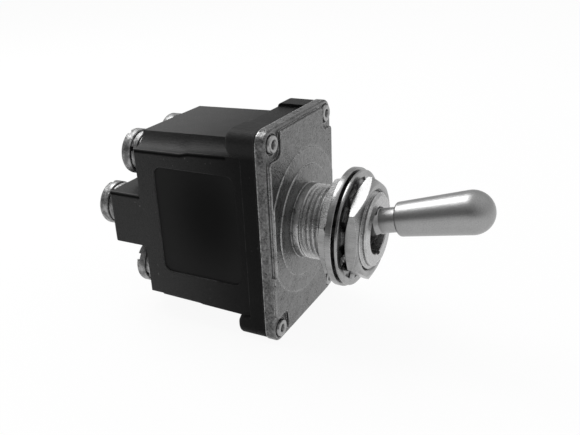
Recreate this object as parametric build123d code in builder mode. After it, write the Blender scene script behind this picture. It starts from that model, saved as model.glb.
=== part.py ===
"""Sealed two-pole panel toggle switch.

Millimetres. The origin is on the bushing's axis, in the plane of the mounting seat.
+Z is up, the bushing and the lever point along -Y, and the case reaches back along +Y.
"""

import os
from math import asin, cos, radians, sin, sqrt, tan

from build123d import *

os.makedirs("parts", exist_ok=True)

# Bushing
thread_r = 5.95
thread_depth = 0.49
bushing_length = 11.9
bushing_chamfer = 0.6
keyway_width = 1.8
keyway_depth = 0.9
keyway_start = 0.4
bore_r = 3.6
bore_mouth_chamfer = 0.15
mouth_notch_width = 1.1
mouth_notch_depth = 0.35
mouth_notch_length = 1.6
rear_bore_r = 4.3
pivot_depth = 5.7
rear_bore_behind_pivot = 0.8

# Cover plate
plate_width = 22.4
plate_height = 34.0
plate_corner_r = 2.15
plate_back = 2.4
pad_level = 0.85
face_level = 0.35
disc_level = 0.2
disc_r = 11.6
seat_r = 8.9
face_inset = 0.75
face_corner_r = 1.6
pad_width = 5.4
pad_height = 6.2
pad_corner_r = 2.6
plate_edge_round = 0.3

# Rivets
rivet_inset_x = 2.09
rivet_inset_z = 2.12
rivet_r = 0.9
rivet_fit = 0.05
rivet_head_r = 1.35
rivet_head_height = 0.7
rivet_bore_r = 0.6
rivet_bore_depth = 1.0
rivet_tail_r = 1.0
rivet_tail_height = 0.3
counterbore_r = 1.6
counterbore_depth = 0.3

# Case
gasket_thickness = 0.25
gasket_inset = 0.2
case_inset = 0.15
side_flange_depth = 2.4
ear_depth = 4.8
ear_width = 5.35
ear_height = 4.15
ear_low_round = 1.8
ear_rear_round = 0.6
bridge_drop = 0.6
side_step = 0.25
case_rear = 24.1
cove_width = 2.9
crown_edge = 4.65
crown_taper = 0.5
row_edge = 2.45
shelf_taper = 0.3
shelf_step = 0.35
shelf_rear_taper = 0.1
step_front_y = 14.0
step_rear_y = 15.6
cove_bow = 0.5
block_rear = 30.4
block_top_z = 4.6
block_bottom_z = -4.2
block_root_r = 0.6
case_edge_round = 0.55
label_front_y = 6.4
label_rear_y = 20.9
label_top_z = 9.85
label_bottom_z = -8.0
label_corner_r = 1.5
label_depth = 0.25
side_wall = 1.9
end_wall = 1.75
rear_wall = 2.5
crown_side_wall = 0.95
partition_thickness = 1.2
partition_gap = 0.8

# Terminals and their screws
pole_x = 5.05
row_z = 9.9
flange_r = 3.5
flange_thickness = 1.6
flange_chamfer = 0.3
barrel_r = 2.7
insert_fit = 0.02
stud_r = 1.8
hole_depth = 3.7
washer_r = 3.6
washer_thickness = 0.6
lock_washer_r = 3.4
lock_washer_thickness = 0.6
lock_washer_slit = 0.7
screw_r = 1.75
screw_fit = 0.05
screw_depth = 4.6
head_r = 3.68
head_rim = 1.7
head_crown = 0.9
head_round = 0.25
slot_width = 1.0
slot_depth = 1.5
slot_angles = {
    "left_top": 106.0,
    "left_middle": 87.0,
    "left_bottom": 149.0,
    "right_top": 20.0,
    "right_middle": 118.0,
    "right_bottom": 64.0,
}

# Lever and its bearing
throw_angle = 14.4
ball_r = 3.3
lever_collar_r = 2.4
collar_flat = 1.5
collar_end = 6.9
collar_bevel = 0.5
shank_r = 1.9
grip_start = 9.65
grip_start_r = 2.6
grip_round = 0.35
dome_centre = 20.6
dome_r = 3.2
tail_r = 1.5
tail_length = 16.6
pin_r = 0.8
pin_fit = 0.03
pin_recess = 0.25
seal_fit = 0.05
seal_front_gap = 0.1
seal_length = 1.4

# Actuator, plungers and springs
actuator_front = 10.2
actuator_rear = 17.0
actuator_width = 14.6
actuator_height = 4.8
plunger_r = 1.5
plunger_fit = 0.05
plunger_bore_depth = 5.2
plunger_start = 13.2
plunger_shoulder = 18.9
plunger_wall = 0.4
nose_r = 1.0
nose_centre = 21.0
cup_floor = 0.7
spring_r = 0.8
spring_wire_r = 0.16
spring_turns = 6

# Rocker contacts
rocker_angle = 6.0
nose_gap = 0.08
rocker_thickness = 0.8
rocker_width = 4.0
rocker_arm_turn = 5.4
rocker_overhang = 1.1
arm_slope = 13.0
ridge_r = 0.7
ridge_fit = 0.05
ridge_length = 3.0
groove_depth = 0.1
neck_length = 1.05
cheek_fit = 0.05
cheek_thickness = 0.45
cheek_half_length = 1.2
cheek_reach = 0.75
contact_inset = 1.0
contact_r = 1.2
contact_head = 0.7
contact_dome_r = 3.0
contact_shank_r = 0.55
contact_fit = 0.02
contact_gap = 0.07

# Mounting hardware
nut_flats = 14.29
nut_thickness = 1.98
nut_fit = 0.05
nut_chamfer = 0.65
nut_face_margin = 0.1
nut_countersink = 0.4
key_ring_front = 7.9
key_ring_thickness = 1.0
key_ring_r = 9.2
key_width = 1.6
key_depth = 0.6
washer_bore_clearance = 0.15
panel_gap = 0.42
tooth_washer_r = 8.9
tooth_washer_thickness = 0.43
tooth_count = 12
tooth_phase = 7.0
tooth_twist = 20.0
tooth_window_r = 7.8
tooth_tip_r = 6.2
tooth_width = 1.3
tooth_thickness = 0.3
tooth_stand = 0.45
rear_nut_phase = 41.5
front_nut_phase = 25.0

# Places that follow from the sizes above
pivot = Vector(0, -pivot_depth, 0)
tilt = radians(throw_angle)
lever_direction = Vector(0, -cos(tilt), sin(tilt))
lever_axis = Axis(pivot, lever_direction)
swing_plane = Plane(origin=pivot, x_dir=lever_direction, z_dir=(-1, 0, 0))
case_front = plate_back + gasket_thickness
rivet_pitch_x = plate_width - 2 * rivet_inset_x
rivet_pitch_z = plate_height - 2 * rivet_inset_z
flange_width = plate_width - 2 * case_inset
flange_height = plate_height - 2 * case_inset
case_width = flange_width - 2 * side_step
ear_inner_x = flange_width / 2 - ear_width
ear_bottom_z = flange_height / 2 - ear_height
crown_half_width = case_width / 2 - cove_width
crown_rear_z = row_z + crown_edge
crown_front_z = crown_rear_z + crown_taper
shelf_rear_z = row_z + row_edge
shelf_step_z = shelf_rear_z + shelf_rear_taper
shelf_mid_z = shelf_step_z + shelf_step
shelf_front_z = shelf_mid_z + shelf_taper
crown_cavity_half_width = crown_half_width - crown_side_wall
cavity_rear = case_rear - rear_wall
ear_rear = case_front + ear_depth
contact_z = row_z - contact_inset
rocker_half_length = contact_z + rocker_overhang
rows = {"top": row_z, "middle": 0.0, "bottom": -row_z}
row_rear = {"top": case_rear, "middle": block_rear, "bottom": case_rear}
poles = {"left": -pole_x, "right": pole_x}
corners = {
    "upper_left": (-1, 1),
    "upper_right": (1, 1),
    "lower_left": (-1, -1),
    "lower_right": (1, -1),
}

# The rocker turns about its fulcrum while the plunger's nose crosses it. The nose's path in the
# rocker's own frame is an arc, and the strip is formed to that arc, one nose radius further out.
# Heights here are measured in that frame, from the fulcrum towards the lever.
rock = radians(rocker_angle)
strip_under = ridge_r + ridge_fit - groove_depth
nose_path_low = strip_under + rocker_thickness + nose_gap + nose_r
fulcrum_y = nose_centre + nose_path_low - pivot_depth
nose_rest_height = nose_centre + nose_path_low - nose_centre * cos(tilt)
nose_rest_z = nose_centre * sin(tilt)
nose_path_high = nose_rest_height * cos(rock) + nose_rest_z * sin(rock)
nose_path_z = nose_rest_z * cos(rock) - nose_rest_height * sin(rock)
nose_path_rise = nose_path_high - nose_path_low
nose_path_r = (nose_path_z**2 + nose_path_rise**2) / (2 * nose_path_rise)
valley_r = nose_path_r + nose_r + nose_gap
valley_centre = nose_path_low + nose_path_r
arm_angle = asin(rocker_arm_turn / valley_r)
arm_out_z = contact_z - contact_r - 0.3
pad_top = valley_centre - valley_r * cos(arm_angle)
pad_top -= (arm_out_z - rocker_arm_turn) * tan(radians(arm_slope))
pad_under = pad_top - rocker_thickness
contact_tip = pad_under - contact_head
contact_face_y = fulcrum_y - (contact_tip + contact_dome_r) * cos(rock)
contact_face_y += contact_z * sin(rock) + contact_dome_r + contact_gap


def at_depth(y):
    """A plane across the bushing's axis. What is extruded from it runs towards -Y."""
    return Plane.XZ.offset(-y)


def along_tail(distance):
    """A plane across the lever's tail. What is extruded from it runs towards the tail's end."""
    return Plane(origin=pivot - lever_direction * distance, x_dir=(1, 0, 0), z_dir=-lever_direction)


def finish(made, name):
    """Label a finished piece and write its file."""
    made.label = name
    export_step(made, f"parts/{name}.step")


# Cover: a die-cast plate and bushing in one piece
face_width = plate_width - 2 * face_inset
face_height = plate_height - 2 * face_inset
with BuildPart() as cover:
    with BuildSketch(at_depth(plate_back)):
        RectangleRounded(plate_width, plate_height, plate_corner_r)
    extrude(amount=plate_back - pad_level)
    fillet(cover.faces().sort_by(Axis.Y)[0].edges(), plate_edge_round)
    with BuildSketch(at_depth(pad_level)) as raised_face:
        RectangleRounded(face_width, face_height, face_corner_r)
        with Locations(
            *[
                (sx * (face_width - pad_width) / 2, sz * (face_height - pad_height) / 2)
                for sx, sz in corners.values()
            ]
        ):
            Rectangle(pad_width, pad_height, mode=Mode.SUBTRACT)
        inner_corners = [
            v
            for v in raised_face.vertices()
            if abs(v.X) < face_width / 2 - 0.5 and abs(v.Y) < face_height / 2 - 0.5
        ]
        fillet(inner_corners, pad_corner_r)
    extrude(amount=pad_level - face_level)
    with BuildSketch(at_depth(face_level)):
        Circle(disc_r)
        Rectangle(face_width, face_height, mode=Mode.INTERSECT)
    extrude(amount=face_level - disc_level)
    with BuildSketch(at_depth(disc_level)):
        Circle(seat_r)
    extrude(amount=disc_level)
    with BuildSketch(at_depth(0)):
        Circle(thread_r)
    extrude(amount=bushing_length)
    chamfer(cover.faces().sort_by(Axis.Y)[0].edges(), bushing_chamfer)
    # bore, wider behind the pivot for the seal, with the two travel notches at its mouth
    with BuildSketch(at_depth(plate_back)):
        Circle(bore_r)
    extrude(amount=plate_back + bushing_length, mode=Mode.SUBTRACT)
    chamfer(
        cover.edges().filter_by(GeomType.CIRCLE).group_by(Axis.Y)[0].sort_by(SortBy.RADIUS)[0],
        bore_mouth_chamfer,
    )
    with BuildSketch(at_depth(plate_back)):
        Circle(rear_bore_r)
    extrude(
        amount=plate_back + pivot_depth - rear_bore_behind_pivot,
        mode=Mode.SUBTRACT,
    )
    with BuildSketch(at_depth(mouth_notch_length - bushing_length)):
        Rectangle(mouth_notch_width, 2 * (bore_r + mouth_notch_depth))
    extrude(amount=mouth_notch_length, mode=Mode.SUBTRACT)
    # keyway along the underside of the thread
    with BuildSketch(at_depth(-keyway_start)):
        with Locations((0, -thread_r)):
            Rectangle(keyway_width, 2 * keyway_depth)
    extrude(amount=bushing_length, mode=Mode.SUBTRACT)
    # hole for the lever's pivot pin, across both walls
    with BuildSketch(Plane.YZ):
        with Locations((-pivot_depth, 0)):
            Circle(pin_r + insert_fit)
    extrude(amount=thread_r, both=True, mode=Mode.SUBTRACT)
    with BuildSketch(at_depth(plate_back)):
        with GridLocations(rivet_pitch_x, rivet_pitch_z, 2, 2):
            Circle(rivet_r + rivet_fit)
    extrude(amount=plate_back, mode=Mode.SUBTRACT)
    with BuildSketch(at_depth(pad_level + counterbore_depth)):
        with GridLocations(rivet_pitch_x, rivet_pitch_z, 2, 2):
            Circle(counterbore_r)
    extrude(amount=counterbore_depth, mode=Mode.SUBTRACT)
finish(cover.part, "cover")


# Case: a stepped moulding with a flange, corner ears, coved shoulders and a centre block
cavity_half_x = case_width / 2 - side_wall
cavity_half_z = shelf_rear_z - end_wall + 0.3
crown_cavity_half_z = crown_rear_z - end_wall


def case_outline(depth, shelf_z, crown_z):
    """The case's section: flat sides, a crown at top and bottom, and a coved shoulder between."""
    side_x = case_width / 2
    cove_x = (side_x + crown_half_width) / 2 - cove_bow
    cove_z = (shelf_z + crown_z) / 2 - cove_bow
    with BuildSketch(at_depth(depth)) as outline:
        with BuildLine():
            for sz in (1, -1):
                Line((-crown_half_width, sz * crown_z), (crown_half_width, sz * crown_z))
                for sx in (1, -1):
                    ThreePointArc(
                        (sx * crown_half_width, sz * crown_z),
                        (sx * cove_x, sz * cove_z),
                        (sx * side_x, sz * shelf_z),
                    )
            Line((side_x, shelf_z), (side_x, -shelf_z))
            Line((-side_x, shelf_z), (-side_x, -shelf_z))
        make_face()
    return outline.sketch


crown_fall = (crown_front_z - crown_rear_z) / (case_rear - case_front)
crown_at = {
    y: crown_front_z - crown_fall * (y - case_front) for y in (step_front_y, step_rear_y)
}
case_sections = [
    case_outline(case_front, shelf_front_z, crown_front_z),
    case_outline(step_front_y, shelf_mid_z, crown_at[step_front_y]),
    case_outline(step_rear_y, shelf_step_z, crown_at[step_rear_y]),
    case_outline(case_rear, shelf_rear_z, crown_rear_z),
]

with BuildPart() as case:
    with BuildSketch(at_depth(ear_rear)):
        RectangleRounded(flange_width, flange_height, plate_corner_r - case_inset)
        Rectangle(flange_width, 2 * ear_bottom_z, mode=Mode.SUBTRACT)
        Rectangle(2 * ear_inner_x, flange_height, mode=Mode.SUBTRACT)
    extrude(amount=ear_depth)
    ear_low_edges = (
        case.edges()
        .filter_by(Axis.X)
        .filter_by(lambda e: abs(e.center().Y - ear_rear) < 0.01)
        .filter_by(lambda e: abs(abs(e.center().Z) - ear_bottom_z) < 0.01)
    )
    fillet(ear_low_edges, ear_low_round)
    ear_back_edges = (
        case.edges()
        .filter_by(lambda e: abs(e.center().Y - ear_rear) < 0.01)
        .filter_by(lambda e: abs(e.center().X) > ear_inner_x + 0.5)
        .filter_by(lambda e: abs(e.center().Z) > ear_bottom_z + ear_low_round + 0.1)
    )
    fillet(ear_back_edges, ear_rear_round)
    with BuildSketch(at_depth(case_front + side_flange_depth)):
        RectangleRounded(flange_width, flange_height, plate_corner_r - case_inset)
    extrude(amount=side_flange_depth)
    # between the ears the flange stands a little lower
    bridge_top = flange_height / 2 - bridge_drop
    with BuildSketch(at_depth(ear_rear)):
        Rectangle(2 * ear_inner_x, 2 * bridge_top)
    extrude(amount=ear_depth)
    with BuildSketch(at_depth(case_front + side_flange_depth)):
        Rectangle(2 * ear_inner_x, flange_height + 2)
        Rectangle(2 * ear_inner_x, 2 * bridge_top, mode=Mode.SUBTRACT)
    extrude(amount=side_flange_depth, mode=Mode.SUBTRACT)
    loft(case_sections, ruled=True)
    with BuildSketch(at_depth(block_rear)):
        with Locations((0, (block_top_z + block_bottom_z) / 2)):
            Rectangle(case_width, block_top_z - block_bottom_z)
    extrude(amount=block_rear - case_rear)
    fillet(case.faces().filter_by(Axis.Y).sort_by(Axis.Y)[-1].edges(), case_edge_round)
    block_roots = (
        case.edges()
        .filter_by(Axis.X)
        .filter_by(lambda e: abs(e.center().Y - case_rear) < 0.01)
        .filter_by(lambda e: abs(e.center().Z) < block_top_z + 0.1)
    )
    fillet(block_roots, block_root_r)
    # cavity, deeper under the crowns, with a partition between the two poles
    with BuildSketch(at_depth(cavity_rear)):
        Rectangle(2 * cavity_half_x, 2 * cavity_half_z)
        Rectangle(2 * crown_cavity_half_width, 2 * crown_cavity_half_z)
    extrude(amount=cavity_rear - case_front, mode=Mode.SUBTRACT)
    partition_front = actuator_rear - pivot_depth + partition_gap
    with BuildSketch(at_depth(cavity_rear)):
        Rectangle(partition_thickness, 2 * crown_cavity_half_z)
    extrude(amount=cavity_rear - partition_front)
    for row, z in rows.items():
        with BuildSketch(at_depth(row_rear[row])):
            with Locations(*[(x, z) for x in poles.values()]):
                Circle(barrel_r + insert_fit)
        extrude(amount=row_rear[row] - cavity_rear, mode=Mode.SUBTRACT)
    with BuildSketch(at_depth(ear_rear)):
        with GridLocations(rivet_pitch_x, rivet_pitch_z, 2, 2):
            Circle(rivet_r + rivet_fit)
    extrude(amount=ear_depth, mode=Mode.SUBTRACT)
    # shallow bare recess for a label on the left side
    label_plane = Plane(origin=(-case_width / 2, 0, 0), x_dir=(0, -1, 0), z_dir=(-1, 0, 0))
    with BuildSketch(label_plane):
        with Locations((-(label_front_y + label_rear_y) / 2, (label_top_z + label_bottom_z) / 2)):
            RectangleRounded(
                label_rear_y - label_front_y, label_top_z - label_bottom_z, label_corner_r
            )
    extrude(amount=-label_depth, mode=Mode.SUBTRACT)
finish(case.part, "case")


# Gasket between the cover and the case
with BuildPart() as gasket:
    with BuildSketch(at_depth(case_front)):
        RectangleRounded(
            plate_width - 2 * gasket_inset, plate_height - 2 * gasket_inset, plate_corner_r - gasket_inset
        )
        Rectangle(2 * cavity_half_x, 2 * cavity_half_z, mode=Mode.SUBTRACT)
        with GridLocations(rivet_pitch_x, rivet_pitch_z, 2, 2):
            Circle(rivet_r + rivet_fit, mode=Mode.SUBTRACT)
    extrude(amount=gasket_thickness)
finish(gasket.part, "gasket")


# Rivets: tubular, with a rolled head in the cover's counterbore and a tail behind the case's ear
head_seat = pad_level + counterbore_depth
for name, (sx, sz) in corners.items():
    centre_x = sx * rivet_pitch_x / 2
    centre_z = sz * rivet_pitch_z / 2
    rivet_axis = Axis((centre_x, 0, centre_z), (0, 1, 0))
    with BuildPart() as rivet:
        with BuildSketch(Plane(origin=(centre_x, 0, centre_z), x_dir=(1, 0, 0), z_dir=(0, 0, 1))):
            with BuildLine():
                rim = head_seat - rivet_head_height
                Polyline(
                    (0, rim + rivet_bore_depth),
                    (rivet_bore_r, rim + rivet_bore_depth),
                    (rivet_bore_r, rim + 0.15),
                )
                ThreePointArc(
                    (rivet_bore_r, rim + 0.15),
                    ((rivet_bore_r + rivet_head_r) / 2, rim - 0.05),
                    (rivet_head_r, rim + 0.3),
                )
                Polyline(
                    (rivet_head_r, rim + 0.3),
                    (rivet_head_r, head_seat),
                    (rivet_r, head_seat),
                    (rivet_r, ear_rear),
                    (rivet_tail_r, ear_rear),
                    (rivet_tail_r - 0.1, ear_rear + rivet_tail_height),
                    (0, ear_rear + rivet_tail_height),
                    (0, rim + rivet_bore_depth),
                )
            make_face()
        revolve(axis=rivet_axis)
    finish(rivet.part, f"rivet_{name}")


# Lever: one turned piece, with a grip, a flatted collar, a pivot ball and a tail
with BuildPart() as lever:
    with BuildSketch(swing_plane):
        with BuildLine():
            tip = dome_centre + dome_r
            ball_to_shank = sqrt(ball_r**2 - lever_collar_r**2)
            ball_to_tail = sqrt(ball_r**2 - tail_r**2)
            Polyline(
                (-tail_length, 0),
                (-tail_length, tail_r),
                (-ball_to_tail, tail_r),
            )
            ThreePointArc((-ball_to_tail, tail_r), (0, ball_r), (ball_to_shank, lever_collar_r))
            Polyline(
                (ball_to_shank, lever_collar_r),
                (collar_end - collar_bevel, lever_collar_r),
                (collar_end, shank_r),
                (grip_start, shank_r),
                (grip_start, grip_start_r - grip_round),
            )
            ThreePointArc(
                (grip_start, grip_start_r - grip_round),
                (grip_start + 0.3 * grip_round, grip_start_r - 0.3 * grip_round),
                (grip_start + grip_round, grip_start_r),
            )
            Line((grip_start + grip_round, grip_start_r), (dome_centre, dome_r))
            RadiusArc((dome_centre, dome_r), (tip, 0), dome_r)
            Line((tip, 0), (-tail_length, 0))
        make_face()
    revolve(axis=lever_axis)
    with BuildSketch(Plane(origin=pivot + lever_direction * ball_r, x_dir=(1, 0, 0), z_dir=lever_direction)):
        Rectangle(3 * ball_r, 3 * ball_r)
        Rectangle(3 * ball_r, 2 * collar_flat, mode=Mode.SUBTRACT)
    extrude(amount=collar_end - ball_r, mode=Mode.SUBTRACT)
    with BuildSketch(Plane.YZ):
        with Locations((-pivot_depth, 0)):
            Circle(pin_r + pin_fit)
    extrude(amount=2 * ball_r, both=True, mode=Mode.SUBTRACT)
finish(lever.part, "lever")

with BuildPart() as pivot_pin:
    with BuildSketch(Plane.YZ):
        with Locations((-pivot_depth, 0)):
            Circle(pin_r)
    extrude(amount=thread_r - thread_depth - pin_recess, both=True)
finish(pivot_pin.part, "pivot_pin")

# Seal: a packing ring whose bore is turned to the lever's ball
seal_rear = rear_bore_behind_pivot + seal_front_gap + seal_length - pivot_depth
with BuildPart() as lever_seal:
    with BuildSketch(at_depth(seal_rear)):
        Circle(rear_bore_r - insert_fit)
    extrude(amount=seal_length)
    with Locations(pivot):
        Sphere(ball_r + seal_fit, mode=Mode.SUBTRACT)
finish(lever_seal.part, "lever_seal")


# Actuator: a moulded crosshead on the lever's tail, bored for the two plungers
with BuildPart() as actuator:
    with BuildSketch(along_tail(actuator_front)):
        SlotOverall(actuator_width, actuator_height)
    extrude(amount=actuator_rear - actuator_front)
    with BuildSketch(along_tail(actuator_front)):
        Circle(tail_r + insert_fit)
    extrude(amount=actuator_rear - actuator_front, mode=Mode.SUBTRACT)
    with BuildSketch(along_tail(actuator_rear - plunger_bore_depth)):
        with Locations((-pole_x, 0), (pole_x, 0)):
            Circle(plunger_r + plunger_fit)
    extrude(amount=plunger_bore_depth, mode=Mode.SUBTRACT)
finish(actuator.part, "actuator")

spring_start = actuator_rear - plunger_bore_depth
spring_end = plunger_shoulder - cup_floor
for side, x in poles.items():
    pole_axis = Axis(pivot + Vector(x, 0, 0), lever_direction)
    pole_plane = Plane(origin=pivot + Vector(x, 0, 0), x_dir=-lever_direction, z_dir=(1, 0, 0))
    with BuildPart() as plunger:
        with BuildSketch(pole_plane):
            with BuildLine():
                Polyline(
                    (spring_end, 0),
                    (spring_end, plunger_r - plunger_wall),
                    (plunger_start, plunger_r - plunger_wall),
                    (plunger_start, plunger_r),
                    (plunger_shoulder, plunger_r),
                    (plunger_shoulder + plunger_r - nose_r, nose_r),
                    (nose_centre, nose_r),
                )
                RadiusArc((nose_centre, nose_r), (nose_centre + nose_r, 0), nose_r)
                Line((nose_centre + nose_r, 0), (spring_end, 0))
            make_face()
        revolve(axis=pole_axis)
    finish(plunger.part, f"plunger_{side}")

    spring_margin = spring_wire_r + insert_fit
    spring_length = spring_end - spring_start - 2 * spring_margin
    coil_start = pivot + Vector(x, 0, 0) - lever_direction * (spring_start + spring_margin)
    with BuildPart() as spring:
        with BuildLine() as coil:
            Helix(
                pitch=spring_length / spring_turns,
                height=spring_length,
                radius=spring_r,
                center=coil_start,
                direction=-lever_direction,
            )
        with BuildSketch(Plane(origin=coil.line @ 0, z_dir=coil.line % 0)):
            RegularPolygon(spring_wire_r, 6)
        sweep(path=coil.line, is_frenet=True)
    finish(spring.part, f"spring_{side}")


# Rocker contacts: a formed strip that rocks on the middle terminal, with a contact at each end
for side, x in poles.items():
    rocker_plane = Plane(
        origin=(x, fulcrum_y, 0), x_dir=(0, -sin(rock), cos(rock)), z_dir=(1, 0, 0)
    )
    towards_lever = rocker_plane.y_dir
    along_strip = rocker_plane.x_dir
    with BuildPart() as rocker:
        with BuildSketch(rocker_plane):
            with BuildLine():
                outer_r = valley_r + rocker_thickness
                turn_top = valley_centre - valley_r * cos(arm_angle)
                turn_under = valley_centre - outer_r * cos(arm_angle)
                under_z = outer_r * sin(arm_angle)
                ThreePointArc(
                    (-rocker_arm_turn, turn_top),
                    (0, valley_centre - valley_r),
                    (rocker_arm_turn, turn_top),
                )
                ThreePointArc((-under_z, turn_under), (0, valley_centre - outer_r), (under_z, turn_under))
                for end in (1, -1):
                    Polyline(
                        (end * rocker_arm_turn, turn_top),
                        (end * arm_out_z, pad_top),
                        (end * rocker_half_length, pad_top),
                        (end * rocker_half_length, pad_under),
                        (end * arm_out_z, pad_under),
                        (end * under_z, turn_under),
                    )
            make_face()
        extrude(amount=rocker_width / 2, both=True)
        cheek_inner = ridge_length / 2 + cheek_fit
        for face_x in (cheek_inner, -cheek_inner - cheek_thickness):
            with BuildSketch(rocker_plane.offset(face_x)):
                with Locations((0, (strip_under + 0.3 - cheek_reach) / 2)):
                    Rectangle(2 * cheek_half_length, strip_under + 0.3 + cheek_reach)
            extrude(amount=cheek_thickness)
        with BuildSketch(rocker_plane):
            Circle(ridge_r + ridge_fit)
        extrude(amount=ridge_length / 2, both=True, mode=Mode.SUBTRACT)
        with BuildSketch(Plane(origin=(x, fulcrum_y, 0), x_dir=(1, 0, 0), z_dir=towards_lever)):
            with Locations((0, contact_z), (0, -contact_z)):
                Circle(contact_shank_r + contact_fit)
        extrude(amount=pad_top + 1, mode=Mode.SUBTRACT)
    finish(rocker.part, f"rocker_{side}")

    for level, end in (("upper", 1), ("lower", -1)):
        foot = Vector(x, fulcrum_y, 0) + along_strip * end * contact_z
        contact_plane = Plane(origin=foot, x_dir=along_strip, z_dir=(1, 0, 0))
        with BuildPart() as contact:
            with BuildSketch(contact_plane):
                with BuildLine():
                    dome_edge = contact_dome_r - sqrt(contact_dome_r**2 - contact_r**2)
                    dome_half = contact_dome_r - sqrt(contact_dome_r**2 - contact_r**2 / 4)
                    ThreePointArc(
                        (0, contact_tip),
                        (contact_r / 2, contact_tip + dome_half),
                        (contact_r, contact_tip + dome_edge),
                    )
                    Polyline(
                        (contact_r, contact_tip + dome_edge),
                        (contact_r, pad_under),
                        (contact_shank_r, pad_under),
                        (contact_shank_r, pad_top),
                        (0, pad_top),
                        (0, contact_tip),
                    )
                make_face()
            revolve(axis=Axis(foot, towards_lever))
        finish(contact.part, f"contact_{side}_{level}")


# Terminals and screws, six of each: the end ones on the case, the middle ones on its block
for side, x in poles.items():
    for row, z in rows.items():
        seat = row_rear[row]
        place = f"{side}_{row}"
        stud_end = contact_face_y
        if row == "middle":
            stud_end = fulcrum_y + neck_length
        stud_axis = Axis((x, 0, z), (0, 1, 0))
        turning_plane = Plane(origin=(x, 0, z), x_dir=(1, 0, 0), z_dir=(0, 0, 1))
        face = seat + flange_thickness
        with BuildPart() as terminal:
            with BuildSketch(turning_plane):
                Polygon(
                    (0, stud_end),
                    (stud_r, stud_end),
                    (stud_r, cavity_rear),
                    (barrel_r, cavity_rear),
                    (barrel_r, seat),
                    (flange_r, seat),
                    (flange_r, face - flange_chamfer),
                    (flange_r - flange_chamfer, face),
                    (stud_r, face),
                    (stud_r, face - hole_depth),
                    (0, face - hole_depth),
                    align=None,
                )
            revolve(axis=stud_axis)
            if row == "middle":
                with BuildSketch(Plane(origin=(x, 0, 0), z_dir=(1, 0, 0), x_dir=(0, 1, 0))):
                    with Locations((fulcrum_y, 0)):
                        Circle(ridge_r)
                    with Locations((fulcrum_y + neck_length / 2, 0)):
                        Rectangle(neck_length, 2 * ridge_r)
                extrude(amount=ridge_length / 2, both=True)
        finish(terminal.part, f"terminal_{place}")

        washer_rear = face + washer_thickness
        with BuildPart() as flat_washer:
            with BuildSketch(at_depth(washer_rear)):
                with Locations((x, z)):
                    Circle(washer_r)
                    Circle(screw_r + screw_fit, mode=Mode.SUBTRACT)
            extrude(amount=washer_thickness)
        finish(flat_washer.part, f"screw_washer_{place}")

        lock_rear = washer_rear + lock_washer_thickness
        slot_angle = slot_angles[place]
        with BuildPart() as split_washer:
            with BuildSketch(at_depth(lock_rear)):
                with Locations((x, z)):
                    Circle(lock_washer_r)
                    Circle(screw_r + screw_fit, mode=Mode.SUBTRACT)
                with Locations(Location((x, z), slot_angle + 50)):
                    Rectangle(
                        2 * lock_washer_r,
                        lock_washer_slit,
                        align=(Align.MIN, Align.CENTER),
                        mode=Mode.SUBTRACT,
                    )
            extrude(amount=lock_washer_thickness)
        finish(split_washer.part, f"screw_lock_washer_{place}")

        rim = lock_rear + head_rim
        crown_sag = head_crown * 0.25
        with BuildPart() as screw:
            with BuildSketch(turning_plane):
                with BuildLine():
                    Polyline(
                        (0, lock_rear - screw_depth),
                        (screw_r - 0.4, lock_rear - screw_depth),
                        (screw_r, lock_rear - screw_depth + 0.4),
                        (screw_r, lock_rear),
                        (head_r, lock_rear),
                        (head_r, rim - head_round),
                        (head_r - head_round, rim),
                    )
                    ThreePointArc(
                        (head_r - head_round, rim),
                        ((head_r - head_round) / 2, rim + head_crown - crown_sag),
                        (0, rim + head_crown),
                    )
                    Line((0, rim + head_crown), (0, lock_rear - screw_depth))
                make_face()
            revolve(axis=stud_axis)
            with BuildSketch(at_depth(rim + head_crown)):
                with Locations(Location((x, z), slot_angle)):
                    Rectangle(2 * head_r + 1, slot_width)
            extrude(amount=slot_depth, mode=Mode.SUBTRACT)
        finish(screw.part, f"screw_{place}")


# Mounting hardware on the bushing
def hex_nut(front, rear, phase):
    """A thin hex nut with both faces chamfered, its bore clear of the thread's crests."""
    face_r = nut_flats / 2 - nut_face_margin
    corner_r = nut_flats / 2 / cos(radians(30))
    inner_r = thread_r + nut_fit
    with BuildPart() as nut:
        with BuildSketch(at_depth(rear)):
            RegularPolygon(corner_r, 6, rotation=phase)
        extrude(amount=rear - front)
        with BuildSketch(Plane.XY):
            Polygon(
                (inner_r, front + nut_countersink),
                (inner_r + nut_countersink, front),
                (face_r, front),
                (corner_r, front + nut_chamfer),
                (corner_r, rear - nut_chamfer),
                (face_r, rear),
                (inner_r + nut_countersink, rear),
                (inner_r, rear - nut_countersink),
                align=None,
            )
        revolve(axis=Axis.Y, mode=Mode.INTERSECT)
    return nut.part


washer_bore_r = thread_r + washer_bore_clearance
key_ring_rear = -key_ring_front + key_ring_thickness
finish(hex_nut(key_ring_rear, key_ring_rear + nut_thickness, rear_nut_phase), "rear_nut")

with BuildPart() as key_ring:
    with BuildSketch(at_depth(key_ring_rear)):
        Circle(key_ring_r)
        Circle(washer_bore_r, mode=Mode.SUBTRACT)
        with Locations((0, key_depth - thread_r)):
            Rectangle(
                key_width,
                key_depth + 2 * washer_bore_clearance,
                align=(Align.CENTER, Align.MAX),
            )
    extrude(amount=key_ring_thickness)
finish(key_ring.part, "key_ring")

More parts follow.
